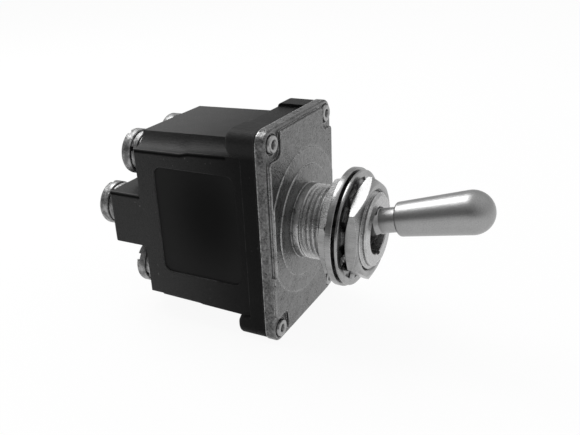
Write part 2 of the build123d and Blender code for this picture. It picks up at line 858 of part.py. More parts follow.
tooth_washer_rear = -key_ring_front - panel_gap
tooth_washer_front = tooth_washer_rear - tooth_washer_thickness
tooth_swing = tooth_width / 2 * sin(radians(tooth_twist))
tooth_y = tooth_washer_front - tooth_stand + tooth_swing + tooth_thickness / 2
with BuildPart() as lock_washer:
    with BuildSketch(at_depth(tooth_washer_rear)):
        Circle(tooth_washer_r)
        Circle(tooth_window_r, mode=Mode.SUBTRACT)
    extrude(amount=tooth_washer_thickness)
    for index in range(tooth_count):
        turn = tooth_phase + 360 / tooth_count * index
        outward = Vector(cos(radians(turn)), 0, sin(radians(turn)))
        tooth_plane = Plane(
            origin=Vector(0, tooth_y, 0) + outward * tooth_tip_r,
            x_dir=(0, 1, 0),
            z_dir=outward,
        )
        with BuildSketch(tooth_plane):
            Rectangle(tooth_thickness, tooth_width, rotation=tooth_twist)
        extrude(amount=tooth_window_r - tooth_tip_r + 0.2)
finish(lock_washer.part, "lock_washer")

front_nut_rear = tooth_washer_front - tooth_stand

finish(
    hex_nut(front_nut_rear - nut_thickness, front_nut_rear, front_nut_phase),
    "front_nut",
)
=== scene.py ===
from math import acos, atan2, ceil, cos, pi, radians, sin, sqrt, tan

import bmesh
import bpy
from mathutils import Matrix, Vector


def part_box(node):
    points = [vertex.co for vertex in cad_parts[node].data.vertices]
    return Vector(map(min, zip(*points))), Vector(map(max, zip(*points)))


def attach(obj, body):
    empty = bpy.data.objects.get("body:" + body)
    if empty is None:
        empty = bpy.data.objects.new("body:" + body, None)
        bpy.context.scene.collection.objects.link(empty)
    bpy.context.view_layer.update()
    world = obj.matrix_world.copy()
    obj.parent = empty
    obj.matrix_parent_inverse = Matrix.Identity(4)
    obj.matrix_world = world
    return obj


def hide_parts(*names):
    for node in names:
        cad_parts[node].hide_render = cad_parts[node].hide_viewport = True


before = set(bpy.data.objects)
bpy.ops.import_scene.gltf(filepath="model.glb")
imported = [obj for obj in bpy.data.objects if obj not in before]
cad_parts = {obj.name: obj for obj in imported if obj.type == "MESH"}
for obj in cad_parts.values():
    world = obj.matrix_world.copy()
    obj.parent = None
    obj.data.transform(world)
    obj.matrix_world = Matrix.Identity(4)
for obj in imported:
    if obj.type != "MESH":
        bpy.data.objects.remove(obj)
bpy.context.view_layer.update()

# Lengths are in millimetres up to the point where a mesh is made, and the row frame is in metres.
MM = 0.001

# Faces that meet at more than this, in degrees, keep a sharp edge between them.
SMOOTH = 32.0

# Bushing and thread
THREAD_R = 5.95
THREAD_PITCH = 0.79375
THREAD_DEPTH = 0.49
THREAD_START = 0.95
BUSHING_LENGTH = 11.9
BUSHING_CHAMFER = 0.6
BORE_R = 3.6
REAR_BORE_R = 4.3
REAR_BORE_END = 4.9
KEYWAY = (1.8, 0.9)  # width, depth
MOUTH_NOTCH = (1.1, 0.35, 1.6)  # width, depth, length
PIVOT_Y = -5.7
PIN_HOLE_R = 0.82

# Lever
LEVER_TILT = radians(14.4)
BALL_R = 3.3
COLLAR_R = 2.4
COLLAR_FLAT = 1.5
COLLAR_END = 6.9
SHANK_R = 1.9
GRIP_START = 9.65
GRIP_START_R = 2.6
GRIP_EDGE_R = 0.35
DOME_CENTRE = 20.6
DOME_R = 3.2
TAIL_R = 1.5
TAIL_LENGTH = 16.6

# Hardware on the bushing
NUT_FLATS = 14.29
NUT_BORE_R = 6.0
NUT_FACE_R = NUT_FLATS / 2 - 0.1
NUT_CHAMFER = 0.65
NUT_MOUTH = 0.4
REAR_NUT_TURN = 41.5
FRONT_NUT_TURN = 25.0
WASHER_BORE_R = 6.1
KEY_RING_R = 9.2
TONGUE_WIDTH = 1.6
TONGUE_REACH = 0.6
TOOTH_RING_R = 8.9
TOOTH_WINDOW_R = 7.8
TOOTH_TIP_R = 6.2
TOOTH_COUNT = 12
TOOTH_PHASE = 7.0
TOOTH_TWIST = 20.0
TOOTH_WIDTH = 1.3
TOOTH_THICKNESS = 0.3
TOOTH_FLARE = 0.35
TOOTH_SUNK = 0.25
TOOTH_SHORT = 0.16
WASHER_THICKNESS = 0.43

# Cover plate, and the levels of its faces behind the seat
PLATE_WIDTH = 22.4
PLATE_HEIGHT = 34.0
PLATE_CORNER_R = 2.15
PLATE_EDGE_R = 0.3
PLATE_BACK = 2.4
PAD_LEVEL = 0.85
FACE_LEVEL = 0.35
DISC_LEVEL = 0.2
FACE_LEFT = -10.45
FACE_RIGHT = 10.7
FACE_TOP = 16.25
FACE_STEP = (-10.85, -5.4)  # x below the step, z of the step
PAD = (3.35, 3.75, 1.2)  # width, height, corner radius
DISC_R = 11.6
SEAT_R = 8.9
COUNTERBORE = (1.6, 0.3)  # radius, depth

# Terminals and screws
POLE_X = 5.05
ROW_Z = 9.9
ROWS = {"top": ROW_Z, "middle": 0.0, "bottom": -ROW_Z}
POLES = {"left": -POLE_X, "right": POLE_X}
HEAD_R = 3.68
HEAD_SIDE = 1.7
HEAD_CROWN = 0.89
SHANK_OF_SCREW = (1.75, 4.6)  # radius, length
WASHER_HOLE_R = 1.8
FLAT_WASHER_R = 3.6
SPLIT_WASHER_R = 3.4
SPLIT_WASHER_RISE = 0.07
SLIT_FROM_SLOT = 50.0
HALF_SLIT = 6.5
SLOT_WIDTH = 1.0
SLOT_DEPTH = 1.5
SLOT_ANGLES = {
    "left_top": 106.0,
    "left_middle": 87.0,
    "left_bottom": 149.0,
    "right_top": 20.0,
    "right_middle": 118.0,
    "right_bottom": 64.0,
}

# Case: its side face, the line of its shoulder as (y, z), and the groove line that runs below it,
# where a shadow is painted
SIDE_X = 10.8
SHOULDER = ((5.05, 13.08), (14.0, 12.8), (15.6, 12.45), (24.1, 12.35))
CASE_REAR = SHOULDER[3][0]
BLOCK_TOP = 4.6
OUTER_ROUND = 0.45
GROOVE_SHADOW_BELOW = 0.36
GROOVE_SHADOW_START = (7.4, 7.6)

# Label recess on the case's left side
LABEL_FLOOR_X = -10.55
LABEL_Y = (6.4, 20.9)
LABEL_Z = (-8.0, 9.85)
# Centre of the shade painted on the label floor
LABEL_MIDDLE = (11.5, 2.5)

# Rivets
RIVET_X = 9.11
RIVET_Z = 14.88
RIVET_HEAD_R = 1.35
RIVET_BORE_R = 0.6
RIVET_SHANK_R = 0.9
RIVET_HOLE_R = 0.95
RIVET_FRONT = 0.4
RIVET_SEAT = 1.13
RIVET_REAR = 7.75
CORNERS = {
    "upper_left": (-1, 1),
    "upper_right": (1, 1),
    "lower_left": (-1, -1),
    "lower_right": (1, -1),
}


# Node trees

class Wire:
    """One output of a node. Arithmetic on wires adds Math nodes to their tree."""

    def __init__(self, tree, output):
        self.tree = tree
        self.output = output

    def maths(self, operation, *values):
        return self.tree.add("ShaderNodeMath", {"operation": operation}, values)

    def apply(self, operation, *others):
        """A Math node with this wire as its first value."""
        return self.maths(operation, self, *others)

    def __add__(self, other):
        return self.maths("ADD", self, other)

    def __radd__(self, other):
        return self.maths("ADD", other, self)

    def __sub__(self, other):
        return self.maths("SUBTRACT", self, other)

    def __rsub__(self, other):
        return self.maths("SUBTRACT", other, self)

    def __mul__(self, other):
        return self.maths("MULTIPLY", self, other)

    def __rmul__(self, other):
        return self.maths("MULTIPLY", other, self)

    def __truediv__(self, other):
        return self.maths("DIVIDE", self, other)

    def __rtruediv__(self, other):
        return self.maths("DIVIDE", other, self)

    def __neg__(self):
        return self.maths("MULTIPLY", self, -1.0)


class Tree:
    """A node tree that is being built."""

    def __init__(self, tree):
        self.tree = tree

    def add(self, kind, settings=None, inputs=(), output=0):
        """A node of one kind: first its settings, then the values or wires of its inputs."""
        node = self.tree.nodes.new(kind)
        for name, value in (settings or {}).items():
            if name == "stops":
                ramp = node.color_ramp.elements
                while len(ramp) < len(value):
                    ramp.new(0.5)
                for element, (place, level) in zip(ramp, value):
                    element.position = place
                    element.color = (level, level, level, 1)
            else:
                setattr(node, name, value)
        pairs = inputs.items() if isinstance(inputs, dict) else enumerate(inputs)
        for name, value in pairs:
            self.feed(node.inputs[name], value)
        return Wire(self, node.outputs[output])

    def feed(self, socket, value):
        """Gives a socket a wire or a plain value."""
        if isinstance(value, Wire):
            self.tree.links.new(value.output, socket)
        else:
            socket.default_value = value

    def split(self, vector):
        """The three parts of a vector."""
        node = self.add("ShaderNodeSeparateXYZ", None, [vector]).output.node
        return [Wire(self, node.outputs[i]) for i in range(3)]

    def between(self, mask, low, high):
        """A colour from low to high as the mask goes from 0 to 1."""
        return self.add(
            "ShaderNodeMix", {"data_type": "RGBA"}, {0: mask, 6: low, 7: high}, output=2
        )


def grey(level):
    return (level, level, level, 1)


class Finish(Tree):
    """A material, with its piece's own coordinates in millimetres."""

    def __init__(self, name, **numbers):
        self.material = bpy.data.materials.new(name)
        self.material.use_nodes = True
        super().__init__(self.material.node_tree)
        self.surface = self.tree.nodes["Principled BSDF"]
        self.shader = Wire(self, self.surface.outputs[0])
        coordinates = self.add("ShaderNodeTexCoord", output="Object")
        self.place = self.add(
            "ShaderNodeVectorMath", {"operation": "SCALE"}, {0: coordinates, "Scale": 1 / MM}
        )
        for socket, value in numbers.items():
            self.surface.inputs[socket.replace("_", " ")].default_value = value

    def set(self, socket, value):
        self.feed(self.surface.inputs[socket], value)

    def stretched(self, x, y, z):
        """The coordinates with a scale of their own on each axis."""
        return self.add("ShaderNodeVectorMath", {"operation": "MULTIPLY"}, [self.place, (x, y, z)])

    def noise(self, cells, detail=2.0, rough=0.5, place=None):
        """Noise from 0 to 1, with so many cells to the millimetre."""
        return self.add(
            "ShaderNodeTexNoise",
            {"noise_dimensions": "3D"},
            {"Vector": place or self.place, "Scale": cells, "Detail": detail, "Roughness": rough},
        )

    def step(self, value, low, high):
        """0 below low, 1 above high, and a smooth rise between them."""
        return self.add(
            "ShaderNodeMapRange",
            {"interpolation_type": "SMOOTHSTEP"},
            {"Value": value, "From Min": low, "From Max": high},
        )

    def slope(self, value, low, high, start, end):
        """A straight run from start to end as the value goes from low to high."""
        return self.add(
            "ShaderNodeMapRange",
            None,
            {"Value": value, "From Min": low, "From Max": high, "To Min": start, "To Max": end},
        )

    def inside(self, value, low, high, soft):
        """1 between two levels and 0 outside them, with a soft run inside each."""
        return self.step(value, low, low + soft) * (1 - self.step(value, high - soft, high))

    def shade(self, level):
        """A neutral colour as light as the level."""
        return self.between(level, grey(0.0), grey(1.0))

    def rounded(self, radius):
        """The normal as it would be with the edges rounded."""
        return self.add("ShaderNodeBevel", {"samples": 4}, {"Radius": radius * MM})

    def edges(self, radius):
        """1 on the edges of the piece, 0 away from them."""
        normal = self.add("ShaderNodeNewGeometry", output="Normal")
        likeness = self.add(
            "ShaderNodeVectorMath",
            {"operation": "DOT_PRODUCT"},
            [self.rounded(radius), normal],
            output="Value",
        )
        return self.step(1 - likeness, 0.02, 0.2)

    def relief(self, height, depth, normal=None):
        """Sets the surface's normal from a height of so many millimetres."""
        inputs = {"Height": height, "Distance": depth * MM, "Strength": 1.0}
        if normal is not None:
            inputs["Normal"] = normal
        bump = self.add("ShaderNodeBump", None, inputs)
        self.set("Normal", bump)
        return bump

    def mix(self, share, one, two):
        """Ends the material in a mix of two shaders, the share being the second's."""
        mixed = self.add("ShaderNodeMixShader", None, [share, one, two])
        self.feed(self.tree.nodes["Material Output"].inputs["Surface"], mixed)


# Finishes

def black_moulding():
    """Mineral-filled thermoset: satin black, finely grained, with a smooth floor in the recess.
    Light and shade are painted into its colour: painted highlights on its edges and along the
    shoulder, a painted shadow in the groove below the shoulder, painted light on its top, towards
    its rear and on the recess wall, and painted shade at the centre of the label floor.
    """
    f = Finish("black_moulding", Specular_IOR_Level=0.46)
    x, y, z = f.split(f.place)
    grain = f.step(f.noise(4.6, 3.0, 0.65), 0.32, 0.68)
    cloud = f.step(f.noise(0.25, 3.0, 0.55), 0.3, 0.7)
    specks = f.step(f.noise(1.9, 1.0, 0.4), 0.76, 0.8)
    # A painted highlight: the moulding's edges are painted lighter, broken up by noise.
    lighter_edges = f.edges(0.3) * f.step(f.noise(0.6, 3.0), 0.3, 0.6)
    side = f.step(x.apply("ABSOLUTE"), SIDE_X - 0.25, SIDE_X - 0.1)
    behind_flange = f.step(y, *GROOVE_SHADOW_START)
    line = SHOULDER[0][1]
    for (y0, z0), (y1, z1) in zip(SHOULDER, SHOULDER[1:]):
        line = line + f.slope(y, y0, y1, 0.0, z1 - z0)
    on_block = f.step(y, CASE_REAR + 0.02, CASE_REAR + 0.1)
    below = line + (BLOCK_TOP - SHOULDER[3][1]) * on_block - z
    off_groove = (below - GROOVE_SHADOW_BELOW).apply("ABSOLUTE")
    # A painted shadow: along a groove just below the shoulder line the side is painted black and
    # loses its gloss, as in the shade under an overhanging edge. The groove itself is a bump.
    groove_painted_shadow = side * (1 - f.step(off_groove, 0.04, 0.36)) * behind_flange
    # A painted highlight on the narrow band between the shoulder line and that groove.
    lip_painted_highlight = side * f.step(below, -0.05, 0.0) * (1 - f.step(below, 0.06, 0.14)) * behind_flange
    # Painted light: the case is painted lighter and made glossier towards its rear, and darker near
    # the flange.
    rear_painted_light = f.step(y, 3.0, 24.0)
    # Painted light: the top, above the shoulder, is painted lighter and made glossier.
    upper = f.step(z, 12.7, 14.0)
    floor_x = LABEL_FLOOR_X
    # Painted light on the wall of the label recess, lightening the shade in it.
    recess = f.step(x, 0.04 - SIDE_X, 0.08 - SIDE_X) * f.step(y, 9.0, 12.0)
    recess = recess * (1 - f.step(x, floor_x - 0.06, floor_x - 0.03))
    tone = 0.001 + (0.002 + 0.014 * rear_painted_light + 0.006 * upper) * (0.8 * grain + 0.2 * cloud)
    tone = (tone + 0.05 * specks + 0.035 * lighter_edges + 0.07 * recess) * (1 - groove_painted_shadow) + 0.004 * lip_painted_highlight
    label = f.inside(x, floor_x - 0.1, floor_x + 0.1, 0.07)
    label = label * f.inside(y, *LABEL_Y, 0.1) * f.inside(z, *LABEL_Z, 0.1)
    # Painted shade on the label floor: dark at its centre, painted lighter towards its edges.
    across = y - LABEL_MIDDLE[0]
    up = 0.7 * (z - LABEL_MIDDLE[1])
    label_painted_light = f.step((across * across + up * up).apply("SQRT"), 1.0, 10.5)
    on_label = f.between(label_painted_light, grey(0.0003), grey(0.016))
    colour = f.between(label, f.shade(tone), on_label)
    rough = (0.46 + 0.1 * grain + 0.06 * cloud + 0.2 * groove_painted_shadow) * (1 - label)
    rough = rough + (0.42 + 0.12 * label_painted_light) * label
    f.set("Base Color", colour)
    f.set("Roughness", rough)
    height = (0.9 * grain + 0.4 * f.noise(1.6, 2.0) - 3.0 * groove_painted_shadow) * (1 - label)
    normal = f.relief(height, 0.025, f.rounded(0.15))
    dull = f.add(
        "ShaderNodeBsdfPrincipled",
        None,
        {"Base Color": colour, "Roughness": rough, "Specular IOR Level": 0.05, "Normal": normal},
    )
    gloss = (0.12 + 0.58 * rear_painted_light + 0.3 * upper) * (1 - 0.9 * groove_painted_shadow) * (1 - label) + 0.05 * label
    f.mix(gloss, dull, f.shader)
    return f.material


def cast_cover():
    """Die casting, plated and dulled: mottled and speckled, worn lighter at its edges, faintly
    turned.
    """
    f = Finish("cast_cover", Metallic=0.92)
    x, y, z = f.split(f.place)
    radius = (x * x + z * z).apply("SQRT")
    cloud = f.step(f.noise(0.5, 4.0, 0.62), 0.32, 0.68)
    speckle = f.step(f.noise(2.6, 3.0, 0.65), 0.32, 0.68)
    pits = f.step(f.noise(1.5, 2.0, 0.5), 0.68, 0.74)
    near = 1 - f.step(radius, DISC_R - 0.4, DISC_R + 0.8)
    round_axis = f.add("ShaderNodeCombineXYZ", None, [radius * 3.0, y, 0.0])
    rings = near * f.noise(1.0, 2.0, 0.6, round_axis)
    half_width, half_height = PLATE_WIDTH / 2, PLATE_HEIGHT / 2
    wall = f.step(x.apply("ABSOLUTE"), half_width - 0.25, half_width - 0.08)
    end_wall = f.step(z.apply("ABSOLUTE"), half_height - 0.25, half_height - 0.08)
    wall = wall.apply("MAXIMUM", end_wall)
    scaled = wall * f.step(f.noise(2.2, 5.0, 0.7), 0.4, 0.6)
    lighter_edges = f.edges(0.4) * f.step(f.noise(0.9, 3.0), 0.28, 0.55)
    threaded = 1 - f.step(y, -0.6, -0.1)
    tone = 0.068 + 0.06 * cloud + 0.08 * speckle - 0.09 * pits - 0.05 * scaled + 0.05 * rings
    tone = tone + 0.34 * lighter_edges + 0.26 * threaded
    f.set("Base Color", f.shade(tone))
    f.set("Roughness", 0.2 + 0.1 * cloud + 0.1 * speckle + 0.12 * scaled)
    height = 0.5 * speckle + 0.6 * cloud + 0.7 * rings - 0.9 * pits - 0.8 * scaled
    f.relief(height, 0.035, f.rounded(0.12))
    return f.material


def turned_hardware():
    """Machined and bright-plated nuts and washers, with turning rings and marks along the flats."""
    f = Finish("turned_hardware", Metallic=1.0)
    x, y, z = f.split(f.place)
    radius = (x * x + z * z).apply("SQRT")
    round_axis = f.add("ShaderNodeCombineXYZ", None, [radius * 5.0, y * 0.5, 0.0])
    rings = f.noise(1.0, 3.0, 0.6, round_axis)
    marks = f.step(f.noise(6.0, 3.0, 0.6, f.stretched(1.0, 0.04, 1.0)), 0.3, 0.7)
    cloud = f.step(f.noise(0.6, 3.0, 0.55), 0.32, 0.68)
    lighter_edges = f.edges(0.15)
    tone = 0.22 + 0.08 * cloud + 0.05 * marks + 0.35 * lighter_edges
    f.set("Base Color", f.shade(tone))
    f.set("Roughness", 0.18 + 0.1 * rings + 0.06 * cloud + 0.04 * marks)
    f.relief(rings + 0.3 * marks, 0.006, f.rounded(0.1))
    return f.material


def satin_lever():
    """Bead-blasted and plated lever: an even, fine sparkle."""
    f = Finish("satin_lever", Metallic=1.0)
    sparkle = f.step(f.noise(6.5, 2.0, 0.6), 0.25, 0.75)
    cloud = f.noise(0.3, 2.0, 0.5)
    tone = 0.26 + 0.08 * sparkle + 0.06 * cloud
    f.set("Base Color", f.shade(tone))
    f.set("Roughness", 0.31 + 0.06 * sparkle + 0.04 * cloud)
    f.relief(sparkle, 0.006)
    return f.material


def worn_screw():
    """Plated screws and their washers: dull, with bright worn patches and pits."""
    f = Finish("worn_screw", Metallic=1.0)
    patches = f.step(f.noise(0.9, 4.0, 0.65), 0.4, 0.62)
    pits = f.step(f.noise(3.6, 2.0, 0.6), 0.32, 0.68)
    lighter_edges = f.edges(0.25)
    tone = 0.13 + 0.18 * patches + 0.04 * pits + 0.28 * lighter_edges
    f.set("Base Color", f.shade(tone))
    f.set("Roughness", 0.42 - 0.06 * patches + 0.1 * pits)
    f.relief(0.5 * pits + 0.5 * patches, 0.02, f.rounded(0.1))
    return f.material


def bright_rivet():
    """Rolled rivet heads: bright, clouded and finely pitted."""
    f = Finish("bright_rivet", Metallic=1.0)
    pits = f.noise(4.0, 2.0, 0.6)
    cloud = f.noise(1.4, 3.0, 0.6)
    f.set("Base Color", f.shade(0.2 + 0.2 * cloud + 0.1 * pits))
    f.set("Roughness", 0.28 + 0.18 * cloud)
    f.relief(pits + cloud, 0.015)
    return f.material


def black_rubber(name, level):
    """Dull black rubber with a fine grain."""
    f = Finish(name, Specular_IOR_Level=0.3)
    grain = f.noise(3.0, 3.0, 0.6)
    f.set("Base Color", f.shade(level + 0.01 * grain))
    f.set("Roughness", 0.7 + 0.15 * grain)
    f.relief(grain, 0.02)
    return f.material


def plain_metal(name, low, high, roughness):
    """Metal for the pieces inside, between two colours."""
    f = Finish(name, Metallic=1.0)
    cloud = f.noise(0.8, 3.0, 0.55)
    f.set("Base Color", f.between(cloud, low, high))
    f.set("Roughness", roughness + 0.12 * f.noise(3.0, 2.0))
    f.relief(f.noise(4.0, 2.0), 0.01)
    return f.material


def natural_moulding():
    """Undyed plastic for the pieces inside."""
    f = Finish("natural_moulding")
    cloud = f.noise(0.4, 2.0, 0.5)
    f.set("Base Color", f.between(cloud, (0.5, 0.47, 0.4, 1), (0.58, 0.56, 0.5, 1)))
    f.set("Roughness", 0.5 + 0.1 * f.noise(4.0, 2.0))
    f.relief(f.noise(3.0, 2.0), 0.01)
    return f.material


moulding = black_moulding()
casting = cast_cover()
hardware = turned_hardware()
lever_satin = satin_lever()
screw_plating = worn_screw()
rivet_plating = bright_rivet()
gasket_black = black_rubber("gasket_black", 0.008)
seal_black = black_rubber("seal_black", 0.012)
spring_steel = plain_metal("spring_steel", grey(0.4), grey(0.55), 0.25)
strip_brass = plain_metal("strip_brass", (0.5, 0.36, 0.2, 1), (0.62, 0.46, 0.28, 1), 0.3)
contact_silver = plain_metal("contact_silver", grey(0.7), grey(0.8), 0.2)
inner_plastic = natural_moulding()


# Meshes

def soften(outline, radius, steps=3):
    """A closed outline of (a, b) points, each corner rounded as far as its sides leave room."""
    made = []
    for i, corner in enumerate(outline):
        here = Vector(corner)
        before = Vector(outline[i - 1]) - here
        after = Vector(outline[(i + 1) % len(outline)]) - here
        half = before.angle(after) / 2
        reach = min(radius / tan(half), 0.4 * before.length, 0.4 * after.length)
        start = here + before.normalized() * reach
        end = here + after.normalized() * reach
        for k in range(steps + 1):
            t = k / steps
            point = start * (1 - t) ** 2 + here * 2 * t * (1 - t) + end * t**2
            made.append((point.x, point.y))
    return made


def turned(profile, segments, centre=(0.0, 0.0), closed=False, first=0.0, last=360.0, rise=0.0):
    """A mesh turned about a line along Y.

    The profile is (radius, y) points, from pole to pole or closed. With a first and a last angle
    it is an arc, and with a rise its end stands so much behind its start.
    """
    bm = bmesh.new()
    whole = last - first >= 360
    columns = segments if whole else segments + 1
    rings = []
    for radius, y in profile:
        if radius < 1e-6:
            rings.append([bm.verts.new((centre[0], y, centre[1]))])
            continue
        ring = []
        for i in range(columns):
            angle = radians(first + (last - first) * i / segments)
            lift = rise * (i / segments - 0.5)
            ring.append(
                bm.verts.new(
                    (centre[0] + radius * cos(angle), y + lift, centre[1] + radius * sin(angle))
                )
            )
        rings.append(ring)
    pairs = list(zip(rings, rings[1:]))
    if closed:
        pairs.append((rings[-1], rings[0]))
    steps = columns if whole else columns - 1
    for one, two in pairs:
        for i in range(steps):
            j = (i + 1) % columns
            corners = [one[i % len(one)], one[j % len(one)], two[j % len(two)], two[i % len(two)]]
            face = [v for n, v in enumerate(corners) if v not in corners[:n]]
            if len(face) > 2:
                bm.faces.new(face)
    if closed and not whole:
        bm.faces.new([ring[0] for ring in rings])
        bm.faces.new([ring[-1] for ring in rings])
    bmesh.ops.recalc_face_normals(bm, faces=bm.faces)
    return bm


def smooth_shade(mesh, angle):
    """Smooth shading, with a sharp edge wherever the faces turn by more than the angle."""
    mesh.polygons.foreach_set("use_smooth", [True] * len(mesh.polygons))
    mesh.set_sharp_from_angle(angle=radians(angle))


def mesh_object(bm, name, smooth=SMOOTH):
    """An object from a mesh in millimetres, smooth except at its edges."""
    for v in bm.verts:
        v.co *= MM
    mesh = bpy.data.meshes.new(name)
    bm.to_mesh(mesh)
    bm.free()
    smooth_shade(mesh, smooth)
    made = bpy.data.objects.new(name, mesh)
    bpy.context.scene.collection.objects.link(made)
    return made


def made_plain(piece):
    """Puts the piece's modifiers into its mesh."""
    bpy.context.view_layer.update()
    graph = bpy.context.evaluated_depsgraph_get()
    mesh = bpy.data.meshes.new_from_object(piece.evaluated_get(graph))
    piece.modifiers.clear()
    piece.data = mesh
    return piece


def settled(piece, smooth=SMOOTH):
    """The piece as its modifiers leave it, shaded anew."""
    made_plain(piece)
    smooth_shade(piece.data, smooth)
    return piece


def even(piece):
    """Weighs the normals by area, so that flat faces look flat beside their rounded edges."""
    weighted = piece.modifiers.new("even", "WEIGHTED_NORMAL")
    weighted.keep_sharp = True
    return made_plain(piece)


def combined(piece, operation, others, smooth=SMOOTH):
    """The piece after DIFFERENCE, UNION or INTERSECT with each of the others, which go."""
    for other in others:
        step = piece.modifiers.new(operation.lower(), "BOOLEAN")
        step.operation = operation
        step.solver = "EXACT"
        step.object = other
    settled(piece, smooth)
    for other in others:
        bpy.data.objects.remove(other)
    return piece


def cut(piece, cutters, smooth=SMOOTH):
    """Takes the cutters out of the piece."""
    return combined(piece, "DIFFERENCE", cutters, smooth)


def edges_broken(piece, width, limit, smooth):
    """The piece with every edge above the limit, in degrees, broken by so many millimetres."""
    bevel = piece.modifiers.new("broken edges", "BEVEL")
    bevel.width = width * MM
    bevel.segments = 2
    bevel.limit_method = "ANGLE"
    bevel.angle_limit = radians(limit)
    return even(settled(piece, smooth))


def block(low, high):
    """A cutter from its lowest to its highest corner."""
    bm = bmesh.new()
    bmesh.ops.create_cube(bm, size=1.0)
    for v in bm.verts:
        v.co = [a + (b - a) * (c + 0.5) for a, b, c in zip(low, high, v.co)]
    return mesh_object(bm, "cutter")


def joined(pieces, name):
    """Several objects as one mesh object."""
    bm = bmesh.new()
    for piece in pieces:
        bm.from_mesh(piece.data)
        bpy.data.objects.remove(piece)
    for v in bm.verts:
        v.co /= MM
    return mesh_object(bm, name)


def dress(piece, body, finish, slot, *nodes):
    """Gives a finished piece its material and body, and hides the CAD nodes that it stands for. The
    slot is not used.
    """
    piece.data.materials.clear()
    piece.data.materials.append(finish)
    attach(piece, body)
    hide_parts(*nodes)


def from_frame(node):
    """A copy of a CAD node: merged, and its flat faces made whole."""
    bm = bmesh.new()
    bm.from_mesh(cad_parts[node].data)
    bmesh.ops.remove_doubles(bm, verts=bm.verts, dist=0.002 * MM)
    for v in bm.verts:
        v.co /= MM
    bmesh.ops.dissolve_limit(
        bm, angle_limit=radians(0.4), verts=bm.verts, edges=bm.edges, delimit={"NORMAL"}
    )
    return bm


# Repeated shapes

def pattern(name, inputs):
    """A Geometry Nodes tree with named inputs, and the wires that they give."""
    group = bpy.data.node_groups.new(name, "GeometryNodeTree")
    group.interface.new_socket("Geometry", in_out="OUTPUT", socket_type="NodeSocketGeometry")
    for title, kind in inputs.items():
        group.interface.new_socket(title, in_out="INPUT", socket_type=kind)
    tree = Tree(group)
    entry = group.nodes.new("NodeGroupInput")
    wires = {title: Wire(tree, entry.outputs[title]) for title in inputs}
    return tree, wires


def finish_pattern(tree, shape, material):
    """Ends a pattern: its instances made real, and its material set."""
    real = tree.add("GeometryNodeRealizeInstances", None, [shape])
    coated = tree.add("GeometryNodeSetMaterial", None, {"Geometry": real, "Material": material})
    leave = tree.tree.nodes.new("NodeGroupOutput")
    tree.tree.links.new(coated.output, leave.inputs[0])
    return tree.tree


def grown(name, group, values):
    """A plain mesh object grown by a pattern with these inputs."""
    piece = bpy.data.objects.new(name, bpy.data.meshes.new(name))
    bpy.context.scene.collection.objects.link(piece)
    modifier = piece.modifiers.new(name, "NODES")
    modifier.node_group = group
    for item in group.interface.items_tree:
        if item.in_out == "INPUT":
            modifier[item.identifier] = values[item.name]
    return settled(piece)


def tooth_pattern(material):
    """Teeth round a lock washer: each is bent out of the ring's plane towards its tip."""
    tree, given = pattern(
        "washer_teeth",
        {
            "Count": "NodeSocketInt",
            "Phase": "NodeSocketFloat",
            "Tip": "NodeSocketFloat",
            "Root": "NodeSocketFloat",
            "Width": "NodeSocketFloat",
            "Flare": "NodeSocketFloat",
            "Thickness": "NodeSocketFloat",
            "Twist": "NodeSocketFloat",
            "Level": "NodeSocketFloat",
            "Rise": "NodeSocketFloat",
        },
    )
    length = given["Root"] - given["Tip"]
    size = tree.add("ShaderNodeCombineXYZ", None, [length, given["Thickness"], given["Width"]])
    bar = tree.add(
        "GeometryNodeMeshCube",
        None,
        {"Size": size, "Vertices X": 9, "Vertices Y": 2, "Vertices Z": 4},
    )
    along, across, wide = tree.split(tree.add("GeometryNodeInputPosition"))
    inward = 0.5 - along / length
    angle = given["Twist"] * inward
    spread = wide * (1 + given["Flare"] * (1 - inward))
    turn_cos = angle.apply("COSINE")
    turn_sin = angle.apply("SINE")
    bent = tree.add(
        "ShaderNodeCombineXYZ",
        None,
        [
            along + (given["Root"] + given["Tip"]) / 2,
            across * turn_cos - spread * turn_sin + given["Level"] + given["Rise"] * inward,
            across * turn_sin + spread * turn_cos,
        ],
    )
    tooth = tree.add("GeometryNodeSetPosition", None, {"Geometry": bar, "Position": bent})
    points = tree.add("GeometryNodePoints", None, {"Count": given["Count"]})
    index = tree.add("GeometryNodeInputIndex")
    turn = -(given["Phase"] + index * (2 * pi) / given["Count"])
    turned_by = tree.add("ShaderNodeCombineXYZ", None, [0.0, turn, 0.0])
    ring = tree.add(
        "GeometryNodeInstanceOnPoints",
        None,
        {"Points": points, "Instance": tooth, "Rotation": turned_by},
    )
    return finish_pattern(tree, ring, material)


def corner_pattern(material):
    """One shape set at the four corners of a rectangle across the bushing's axis."""
    tree, given = pattern(
        "corner_set",
        {"Shape": "NodeSocketObject", "Pitch X": "NodeSocketFloat", "Pitch Z": "NodeSocketFloat"},
    )
    grid = tree.add(
        "GeometryNodeMeshGrid",
        None,
        {"Size X": given["Pitch X"], "Size Y": given["Pitch Z"], "Vertices X": 2, "Vertices Y": 2},
    )
    stood = tree.add(
        "GeometryNodeTransform", None, {"Geometry": grid, "Rotation": (pi / 2, 0.0, 0.0)}
    )
    shape = tree.add("GeometryNodeObjectInfo", None, {"Object": given["Shape"]}, output="Geometry")
    placed = tree.add("GeometryNodeInstanceOnPoints", None, {"Points": stood, "Instance": shape})
    return finish_pattern(tree, placed, material)


# Cover: the cast plate with its threaded bushing

# One pitch of the thread, its crest first: (share of the pitch, share of the depth)
THREAD_FORM = (
    (0.00, 0.06),
    (0.03, 0.00),
    (0.11, 0.00),
    (0.14, 0.06),
    (0.42, 0.92),
    (0.46, 1.00),
    (0.68, 1.00),
    (0.72, 0.92),
)


def thread_radius(y, share):
    """The bushing's radius so far from the seat, where the thread has this share of its depth."""
    run_in = min(max((y - THREAD_START) / (0.9 * THREAD_PITCH), 0.0), 1.0)
    radius = THREAD_R - THREAD_DEPTH * share * run_in * run_in * (3 - 2 * run_in)
    return min(radius, THREAD_R - BUSHING_CHAMFER + BUSHING_LENGTH - y)


